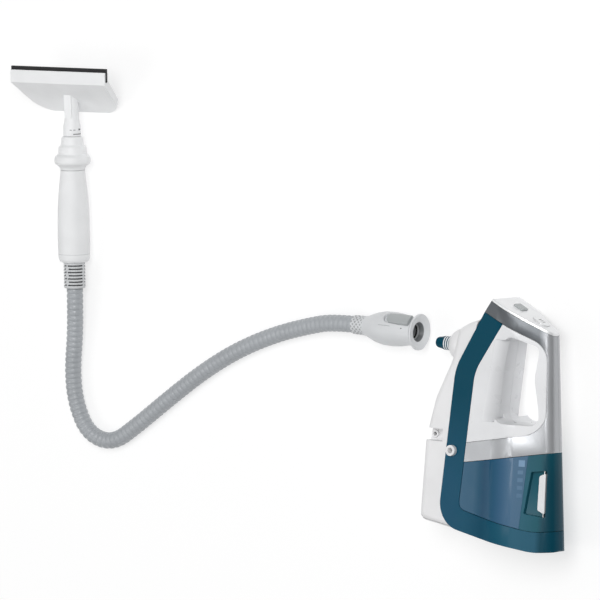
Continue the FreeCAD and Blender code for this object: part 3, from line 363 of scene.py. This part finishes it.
def paint_tank_light_and_scale():
    """Tank: painted reflections, lighter at both ends, and painted shade in the middle, with a
    lighter level scale whose ticks fade downwards.
    """
    tree = M["tank"].node_tree
    forward, _, upward = own_place(tree, UNIT)
    # painted reflections and shade along the tank's flank
    painted_light = along(tree, forward, *TANK_SPAN, TANK_PAINTED_LIGHT)
    level = calc(tree, "MULTIPLY", between(tree, forward, *SCALE_BLOCK[0], 0.3),
                 between(tree, upward, *SCALE_BLOCK[1], 0.3))
    for i in range(SCALE_TICKS):
        line = SCALE_TOP - SCALE_PITCH * i
        tick = calc(tree, "MULTIPLY", between(tree, forward, *TICK_SPAN, 0.3),
                    between(tree, upward, line - TICK_HALF, line + TICK_HALF, 0.4))
        level = calc(tree, "MAXIMUM", level, calc(tree, "MULTIPLY", tick, 0.34 - 0.05 * i))
    recolour(tree, mix(tree, level, painted_light, SCALE_TINT))


def shade_relief():
    """Strain relief: painted shade inside the slots."""
    tree = M["relief"].node_tree
    across, _, over = own_place(tree, HAND)
    # painted shade: everything inside the slots' depth goes dark grey
    slot_shade_mask = between(tree, from_spine(tree, across, over), 0.0, RELIEF_CORE, 0.15)
    recolour(tree, mix(tree, slot_shade_mask, own_colour(tree), srgb(92, 94, 96)))


def line_grip():
    """Grip: a moulding line near its lower end."""
    tree = M["grip_white"].node_tree
    run = own_place(tree, HAND)[1]
    line = calc(tree, "MULTIPLY", between(tree, run, *GRIP_LINE, 0.15), 0.5)
    recolour(tree, mix(tree, line, own_colour(tree), srgb(150, 152, 154)))


def shade_flange():
    """Flange: painted shade inside its funnel."""
    tree = M["flange"].node_tree
    across, over, run = own_place(tree, CONNECTOR)
    # painted shade inside the funnel
    funnel_shade_mask = calc(tree, "MULTIPLY",
                  between(tree, from_spine(tree, across, over), -1.0, FUNNEL_RADIUS, 0.15),
                  between(tree, run, *FUNNEL_SPAN, 0.2))
    recolour(tree, mix(tree, funnel_shade_mask, own_colour(tree), srgb(112, 115, 117)))


def shade_silver():
    """Silver frame: painted shade under the panel's rim, forward of the rear edge."""
    tree = M["silver"].node_tree
    forward, _, upward = own_place(tree, UNIT)
    # painted shade: the strip under the panel's rim goes dark grey
    height = calc(tree, "SUBTRACT", upward, calc(tree, "MULTIPLY", forward, PANEL_SLOPE))
    deep = calc(tree, "MULTIPLY", between(tree, height, *RIM_SHADE, 5.0),
                between(tree, forward, *RIM_SPAN, 6.0))
    recolour(tree, mix(tree, calc(tree, "MULTIPLY", deep, 0.95), own_colour(tree),
                       srgb(88, 92, 96)))


def knurl_collar():
    """Collar: a crossed knurl, from two waves that wind round it opposite ways."""
    tree = M["knurl"].node_tree
    across, over, run = own_place(tree, CONNECTOR)
    angle = calc(tree, "MULTIPLY", calc(tree, "ARCTAN2", across, over), KNURL_STARTS)
    pitch = calc(tree, "MULTIPLY", run, KNURL_PITCH)
    weave = calc(tree, "MAXIMUM", calc(tree, "SINE", calc(tree, "ADD", angle, pitch)),
                 calc(tree, "SINE", calc(tree, "SUBTRACT", angle, pitch)))
    recolour(tree, mix(tree, between(tree, weave, -2.0, 0.25, 0.3), own_colour(tree),
                       srgb(168, 170, 172)))


for pattern in (paint_flank_light, paint_tank_light_and_scale, shade_relief, line_grip, shade_flange, shade_silver,
                knurl_collar):
    pattern()

NODE_MATERIAL = {
    "white": ["grip_shell_left", "grip_shell_right", "latch_lever_left", "latch_lever_right"],
    "cover_white": ["front_cover", "nose_shroud", "cord_gland", "port_bushing"],
    "off_white": ["connector_shell"],
    "flange": ["connector_flange"],
    "head_white": ["locking_ring", "squeegee_head"],
    "knurl": ["hose_collar"],
    "grip_white": ["grip_upper", "grip_lower"],
    "grey_key": ["lock_slider", "power_button"],
    "silver": ["frame_left", "frame_right"],
    "panel_silver": ["top_panel", "steam_button"],
    "teal": ["side_band_left", "side_band_right", "steam_nozzle"],
    "teal_dark": ["tank_housing"],
    "tank": ["tank_shell"],
    "dark": ["base_plate", "tank_tray", "inner_deck", "tank_socket", "tank_valve", "fill_bung",
             "cord_clamp", "pump", "power_switch", "steam_switch"],
    "bore": ["connector_socket", "steam_plate"],
    "hose": ["steam_hose"],
    "relief": ["strain_relief"],
    "rubber": ["nozzle_seal", "socket_seal", "connector_seal", "head_seal", "squeegee_blade"],
    "pale_rubber": ["nozzle_rings"],
    "brass": ["inner_tube", "thermal_fuse"],
    "steel": ["housing_screws", "latch_pins", "latch_springs", "button_springs", "heating_element",
              "pump_bracket", "thermostat"],
    "alloy": ["boiler"],
    "board": ["control_board"],
    "silicone": ["suction_tube", "feed_tube", "steam_pipe"],
}
for key, names in NODE_MATERIAL.items():
    for name in names:
        materials = nodes[name].data.materials
        materials.clear()
        materials.append(M[key])


# --- moulded edges on the CAD shells -------------------------------------------------------------
EDGE_SEGMENTS = 3
EDGE_ANGLE = math.radians(32)
FLAT_ANGLE = math.radians(0.4)
SAME_PLACE = 1e-6
EDGES = {"grip_shell_left": 0.5, "grip_shell_right": 0.5, "frame_left": 0.4, "frame_right": 0.4,
         "side_band_left": 0.3, "side_band_right": 0.3, "front_cover": 0.6, "tank_housing": 0.3,
         "tank_shell": 0.3, "top_panel": 0.3, "latch_lever_left": 0.4, "latch_lever_right": 0.4,
         "squeegee_head": 0.8, "locking_ring": 0.4, "connector_flange": 0.3,
         "connector_shell": 0.3, "nose_shroud": 0.4, "port_bushing": 0.3, "cord_gland": 0.3}


def soft_edges(name, width):
    """Rounds the CAD node's sharp edges with modifiers, without touching its mesh."""
    item = nodes[name]
    merge = item.modifiers.new("merge", "WELD")
    merge.merge_threshold = SAME_PLACE
    flat = item.modifiers.new("flat", "DECIMATE")
    flat.decimate_type = "DISSOLVE"
    flat.angle_limit = FLAT_ANGLE
    bevel = item.modifiers.new("edges", "BEVEL")
    bevel.width = width
    bevel.segments = EDGE_SEGMENTS
    bevel.limit_method = "ANGLE"
    bevel.angle_limit = EDGE_ANGLE
    bevel.use_clamp_overlap = True
    bevel.harden_normals = True
    bevel.miter_outer = "MITER_ARC"


for shell, edge in EDGES.items():
    soft_edges(shell, edge * MM)


# --- small marks on the shells --------------------------------------------------------------------
MARK_ROOT = -0.12
MARK_REACH = 30.0
MARK_ROWS = 15


def steps(first, last, count=MARK_ROWS):
    """Evenly spaced numbers, both ends included."""
    return [first + (last - first) * i / (count - 1) for i in range(count)]


def shell_tree(name):
    """The CAD node's surface, for dropping marks on it."""
    item = nodes[name]
    corners = [item.matrix_world @ v.co for v in item.data.vertices]
    return BVHTree.FromPolygons(corners, [tuple(face.vertices) for face in item.data.polygons])


def mark(name, shell, path, widths, material, body, proud=0.10):
    """A thin raised line on a CAD shell. The path is pairs: a start point and the way it drops."""
    surface = shell_tree(shell)
    profile = ((-1.0, MARK_ROOT), (-0.92, proud * 0.8), (0.0, proud), (0.92, proud * 0.8),
               (1.0, MARK_ROOT))
    mesh = bpy.data.meshes.new(name)
    shape = bmesh.new()
    rows = []
    for i, ((start, look), width) in enumerate(zip(path, widths)):
        run = (path[min(i + 1, len(path) - 1)][0] - path[max(i - 1, 0)][0]).normalized()
        side = run.cross(look).normalized()
        row = []
        for across, rise in profile:
            hit, normal = surface.ray_cast(start + side * across * width / 2 * MM, look)[:2]
            if hit is None:
                raise ValueError("a mark misses its shell: " + name)
            row.append(shape.verts.new(hit - look * rise * MM))
        rows.append(row)
    for low, high in zip(rows, rows[1:]):
        for k in range(len(profile) - 1):
            shape.faces.new((low[k], low[k + 1], high[k + 1], high[k]))
        shape.faces.new((low[-1], low[0], high[0], high[-1]))
    shape.faces.new(rows[0][::-1])
    shape.faces.new(rows[-1])
    bmesh.ops.recalc_face_normals(shape, faces=shape.faces)
    shape.to_mesh(mesh)
    shape.free()
    item = bpy.data.objects.new(name, mesh)
    bpy.context.collection.objects.link(item)
    item.data.materials.append(M[material])
    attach(item, body)


def round_path(frame_axes, angles, places):
    """Start points on a circle round a piece's spine, all looking at the spine. The spine is the
    second axis of the hand piece and the third axis of the connector."""
    path = []
    for angle, place in zip(angles, places):
        sine = math.sin(math.radians(angle)) * MARK_REACH
        cosine = math.cos(math.radians(angle)) * MARK_REACH
        if frame_axes is HAND:
            start, foot = in_frame(HAND, sine, place, cosine), in_frame(HAND, 0.0, place, 0.0)
        else:
            start = in_frame(frame_axes, sine, cosine, place)
            foot = in_frame(frame_axes, 0.0, 0.0, place)
        path.append((start, (foot - start).normalized()))
    return path


def level_path(angles, place):
    """A path round the hand piece's spine at one place along it."""
    return round_path(HAND, angles, [place] * len(angles))


KEY_FORWARD = 36.0
KEY_DROP = 12.0
KEY_DASH_HALF = 2.6
KEY_DASH_SHIFTS = (-3.0, 0.0, 3.0)


def mark_neck():
    """The line, the arrow and the two dashes round the squeegee's neck."""
    mark("neck_line", "squeegee_head", level_path(steps(42, 110), 186.0), [1.0] * MARK_ROWS,
         "ink_and_shade", "squeegee")
    mark("neck_arrow", "squeegee_head", level_path(steps(82, 102), 191.4), steps(2.8, 0.3),
         "ink_and_shade", "squeegee")
    for i, angle in enumerate((18, 42)):
        mark("neck_dash_%d" % (i + 1), "squeegee_head", level_path(steps(angle, angle + 15), 191.0),
             [1.3] * MARK_ROWS, "grey_ink_and_shade", "squeegee")


def mark_connector():
    """The dot and the crease on the connector's shell: a painted dark dot for the shade in a small
    hole and a painted grey line for the shade along a crease.
    """
    # painted shade: a dark dot for a small hole and a grey line along a crease
    mark("connector_hole_shade", "connector_shell",
         round_path(CONNECTOR, steps(78, 78, 5), steps(63.3, 64.7, 5)),
         [0.5, 1.3, 1.5, 1.3, 0.5], "ink_and_shade", "hose_set")
    mark("connector_crease_shade", "connector_shell",
         round_path(CONNECTOR, steps(75, 75), steps(78, 95)),
         [0.2] + [0.8] * (MARK_ROWS - 2) + [0.2], "grey_ink_and_shade", "hose_set", proud=0.05)


def mark_key():
    """Three dashes across the oval button, dropped square to the top panel."""
    slope = math.atan(PANEL_SLOPE)
    fore, rise = math.cos(slope), math.sin(slope)
    down = (in_frame(UNIT, rise, 0, -fore) - in_frame(UNIT, 0, 0, 0)).normalized()
    for i, shift in enumerate(KEY_DASH_SHIFTS):
        forward = KEY_FORWARD + shift * fore - KEY_DROP * rise
        upward = PANEL_FOOT + PANEL_SLOPE * KEY_FORWARD + shift * rise + KEY_DROP * fore
        path = [(in_frame(UNIT, forward, across, upward), down)
                for across in steps(-KEY_DASH_HALF, KEY_DASH_HALF)]
        mark("key_dash_%d" % (i + 1), "steam_button", path, [0.9] * MARK_ROWS,
             "ink_and_shade", "steam_key")


mark_neck()
mark_connector()
mark_key()

# --- front closing plate -------------------------------------------------------------------------
PLATE_LINE = [(85.9, 283.3), (94.4, 269.9), (106.8, 258.8), (112.5, 238.0)]
PLATE_THICK = 1.6
PLATE_EDGE = 1.2
PLATE_STEPS = 6
EDGE_FROM = 0.9
SIDE_ROOM = 2.6


def half_width(forward, upward):
    """Half the room between the side shells at a place in the side view."""
    return HALF_WIDTH - TAPER_UP * upward - TAPER_FORWARD * (forward - SHOULDER) - SIDE_ROOM


def plate_rows():
    """The plate's line in the side view, in short steps with its bends eased."""
    rows = []
    for low, high in zip(PLATE_LINE, PLATE_LINE[1:]):
        rows += [(low[0] + (high[0] - low[0]) * i / PLATE_STEPS,
                  low[1] + (high[1] - low[1]) * i / PLATE_STEPS) for i in range(PLATE_STEPS)]
    rows.append(PLATE_LINE[-1])
    near = [rows[max(0, i - 1):i + 2] for i in range(len(rows))]
    return [tuple(sum(row[k] for row in group) / len(group) for k in (0, 1)) for group in near]


def make_front_plate():
    """A bent plate that closes the front between the top panel and the front cover. Its side
    edges roll inwards."""
    rows = plate_rows()
    rim = [EDGE_FROM, 0.95, 0.985, 1.0]
    columns = [-place for place in reversed(rim)] + steps(-0.8, 0.8, 9) + rim
    mesh = bpy.data.meshes.new("front_plate")
    shape = bmesh.new()
    grids = []
    for depth in (0.0, PLATE_THICK):
        grid = []
        for i, (forward, upward) in enumerate(rows):
            before, after = rows[max(i - 1, 0)], rows[min(i + 1, len(rows) - 1)]
            run = Vector((after[0] - before[0], after[1] - before[1])).normalized()
            inward = Vector((run.y, -run.x))
            row = []
            for column in columns:
                sunk = depth
                if depth == 0.0:
                    sunk += PLATE_EDGE * max(0.0, (abs(column) - EDGE_FROM) / (1 - EDGE_FROM)) ** 2
                row.append(shape.verts.new(in_frame(UNIT, forward + inward.x * sunk,
                                                    column * half_width(forward, upward),
                                                    upward + inward.y * sunk)))
            grid.append(row)
        grids.append(grid)
    front, back = grids
    for grid in grids:
        for low, high in zip(grid, grid[1:]):
            for k in range(len(columns) - 1):
                shape.faces.new((low[k], low[k + 1], high[k + 1], high[k]))
    for end in (0, -1):
        for k in range(len(columns) - 1):
            shape.faces.new((front[end][k], front[end][k + 1], back[end][k + 1], back[end][k]))
        for i in range(len(rows) - 1):
            shape.faces.new((front[i][end], front[i + 1][end], back[i + 1][end], back[i][end]))
    bmesh.ops.recalc_face_normals(shape, faces=shape.faces)
    for face in shape.faces:
        face.smooth = True
    shape.to_mesh(mesh)
    shape.free()
    plate = bpy.data.objects.new("front_plate", mesh)
    bpy.context.collection.objects.link(plate)
    plate.data.materials.append(M["cover_white"])
    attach(plate, "body")


make_front_plate()

# --- hose ---------------------------------------------------------------------------------------
HOSE_DIAMETER = 20.0 * MM
HOSE_ROUTE = [
    (-320.5, -3.0, 18.3), (-320.8, -27.0, 17.4), (-324.5, -62.0, 12.5), (-330.0, -104.0, 10.1),
    (-326.0, -143.0, 10.1), (-308.0, -180.0, 10.1), (-272.0, -190.0, 10.1), (-236.0, -165.0, 10.1),
    (-190.0, -129.5, 10.1), (-140.0, -93.0, 10.1), (-90.0, -64.0, 10.1), (-38.0, -43.0, 10.1),
    (8.0, -30.6, 12.5), (44.0, -23.5, 16.7), (81.51, -24.83, 18.79)]
RIB_PITCH = 6.6 * MM
RIB_DEPTH = 0.85 * MM
RIB_SHARPNESS = 2.2
SKIN_GAP = 0.05 * MM
SAMPLES_PER_RIB = 10
SIDES = 40


def spline_points(route):
    """Points along the smooth line that has the route as its control points."""
    data = bpy.data.curves.new("route", "CURVE")
    data.dimensions = "3D"
    data.resolution_u = 40
    spline = data.splines.new("NURBS")
    spline.points.add(len(route) - 1)
    for point, place in zip(spline.points, route):
        point.co = (*(Vector(place) * MM + CENTRE_SHIFT), 1.0)
    spline.order_u = 3
    spline.use_endpoint_u = True
    item = bpy.data.objects.new("route", data)
    bpy.context.collection.objects.link(item)
    bpy.context.view_layer.update()
    mesh = bpy.data.meshes.new_from_object(item)
    points = [v.co.copy() for v in mesh.vertices]
    bpy.data.objects.remove(item)
    bpy.data.meshes.remove(mesh)
    return points


def evenly(points, step):
    """The same line resampled at an even step; returns the points and the whole length."""
    total = sum((b - a).length for a, b in zip(points, points[1:]))
    count = max(2, round(total / step))
    out = [points[0].copy()]
    travelled = 0.0
    target = total / count
    for a, b in zip(points, points[1:]):
        run = (b - a).length
        while run > 0 and travelled + run >= target * len(out) - 1e-9 and len(out) < count:
            out.append(a.lerp(b, (target * len(out) - travelled) / run))
        travelled += run
    out.append(points[-1].copy())
    return out, total


def tube_mesh(name, line, radii, sides):
    """A round skin round a line, with one radius per point, closed at both ends."""
    mesh = bpy.data.meshes.new(name)
    shape = bmesh.new()
    rings = []
    for i, (place, radius) in enumerate(zip(line, radii)):
        run = (line[min(i + 1, len(line) - 1)] - line[max(i - 1, 0)]).normalized()
        side = run.cross(Vector((0, 0, 1))).normalized()
        over = side.cross(run)
        ring = []
        for k in range(sides):
            angle = 2 * math.pi * k / sides
            spoke = side * math.cos(angle) + over * math.sin(angle)
            ring.append(shape.verts.new(place + spoke * radius))
        rings.append(ring)
    for low, high in zip(rings, rings[1:]):
        for k in range(sides):
            shape.faces.new((low[k], low[(k + 1) % sides], high[(k + 1) % sides], high[k]))
    shape.faces.new(rings[0][::-1])
    shape.faces.new(rings[-1])
    bmesh.ops.recalc_face_normals(shape, faces=shape.faces)
    for face in shape.faces:
        face.smooth = len(face.verts) == 4
    shape.to_mesh(mesh)
    shape.free()
    item = bpy.data.objects.new(name, mesh)
    bpy.context.collection.objects.link(item)
    return item


def make_hose():
    """The ribbed hose, which stands for the plain one of the CAD."""
    smooth_line = spline_points(HOSE_ROUTE)
    line, length = evenly(smooth_line, RIB_PITCH / SAMPLES_PER_RIB)
    radii = []
    for i in range(len(line)):
        travel = length * i / (len(line) - 1)
        wave = 0.5 - 0.5 * math.cos(2 * math.pi * travel / RIB_PITCH)
        groove = (1 - wave) ** RIB_SHARPNESS
        radii.append(HOSE_DIAMETER / 2 - SKIN_GAP - RIB_DEPTH * groove)
    hose = tube_mesh("hose_skin", line, radii, SIDES)
    hose.data.materials.append(M["hose"])
    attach(hose, "hose_set")
    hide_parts("steam_hose")


make_hose()

# --- floor and light ----------------------------------------------------------------------------
FLOOR_SIZE = 6.0
FLOOR_GLOW = 0.62
SKY_STRENGTH = 0.62
SKY_STOPS = [(0.0, 0.10), (0.30, 0.20), (0.70, 0.75), (1.0, 1.0)]


def make_stage():
    """A matt white sheet under the set, bright enough to lose its own edge."""
    mesh = bpy.data.meshes.new("floor")
    half = FLOOR_SIZE / 2
    corners = [(-half, -half, 0), (half, -half, 0), (half, half, 0), (-half, half, 0)]
    mesh.from_pydata(corners, [], [(0, 1, 2, 3)])
    floor = bpy.data.objects.new("floor", mesh)
    bpy.context.collection.objects.link(floor)
    paper = moulded("floor_paper", (0.42, 0.42, 0.42), 0.9, grain=0.0, mottling=0.0,
                    specular=0.0)
    glow = paper.node_tree.nodes["Principled BSDF"]
    glow.inputs["Emission Color"].default_value = (1.0, 1.0, 1.0, 1.0)
    glow.inputs["Emission Strength"].default_value = FLOOR_GLOW
    floor.data.materials.append(paper)


def make_light(name, place, aim, size, power):
    """A round soft light that looks at a point."""
    data = bpy.data.lights.new(name, "AREA")
    data.shape = "DISK"
    data.size = size
    data.energy = power
    light = bpy.data.objects.new(name, data)
    light.location = place
    light.rotation_euler = (Vector(aim) - Vector(place)).to_track_quat("-Z", "Y").to_euler()
    bpy.context.collection.objects.link(light)


def make_world():
    """An even sky that is brighter overhead."""
    world = bpy.data.worlds.new("studio")
    world.use_nodes = True
    tree = world.node_tree
    height = add(tree, "ShaderNodeSeparateXYZ")
    direction = tree.nodes.new("ShaderNodeTexCoord").outputs["Generated"]
    tree.links.new(direction, height.inputs["Vector"])
    sky = ramp(tree, height.outputs["Z"], SKY_STOPS)
    tree.links.new(sky, tree.nodes["Background"].inputs["Color"])
    tree.nodes["Background"].inputs["Strength"].default_value = SKY_STRENGTH
    bpy.context.scene.world = world


make_stage()
make_light("key", (0.9, 0.9, 2.9), (0, 0, 0), 1.8, 48.0)
make_light("fill", (-1.6, -0.6, 1.9), (-0.1, 0, 0), 1.4, 9.0)
make_world()
bpy.context.scene.view_settings.view_transform = "Standard"
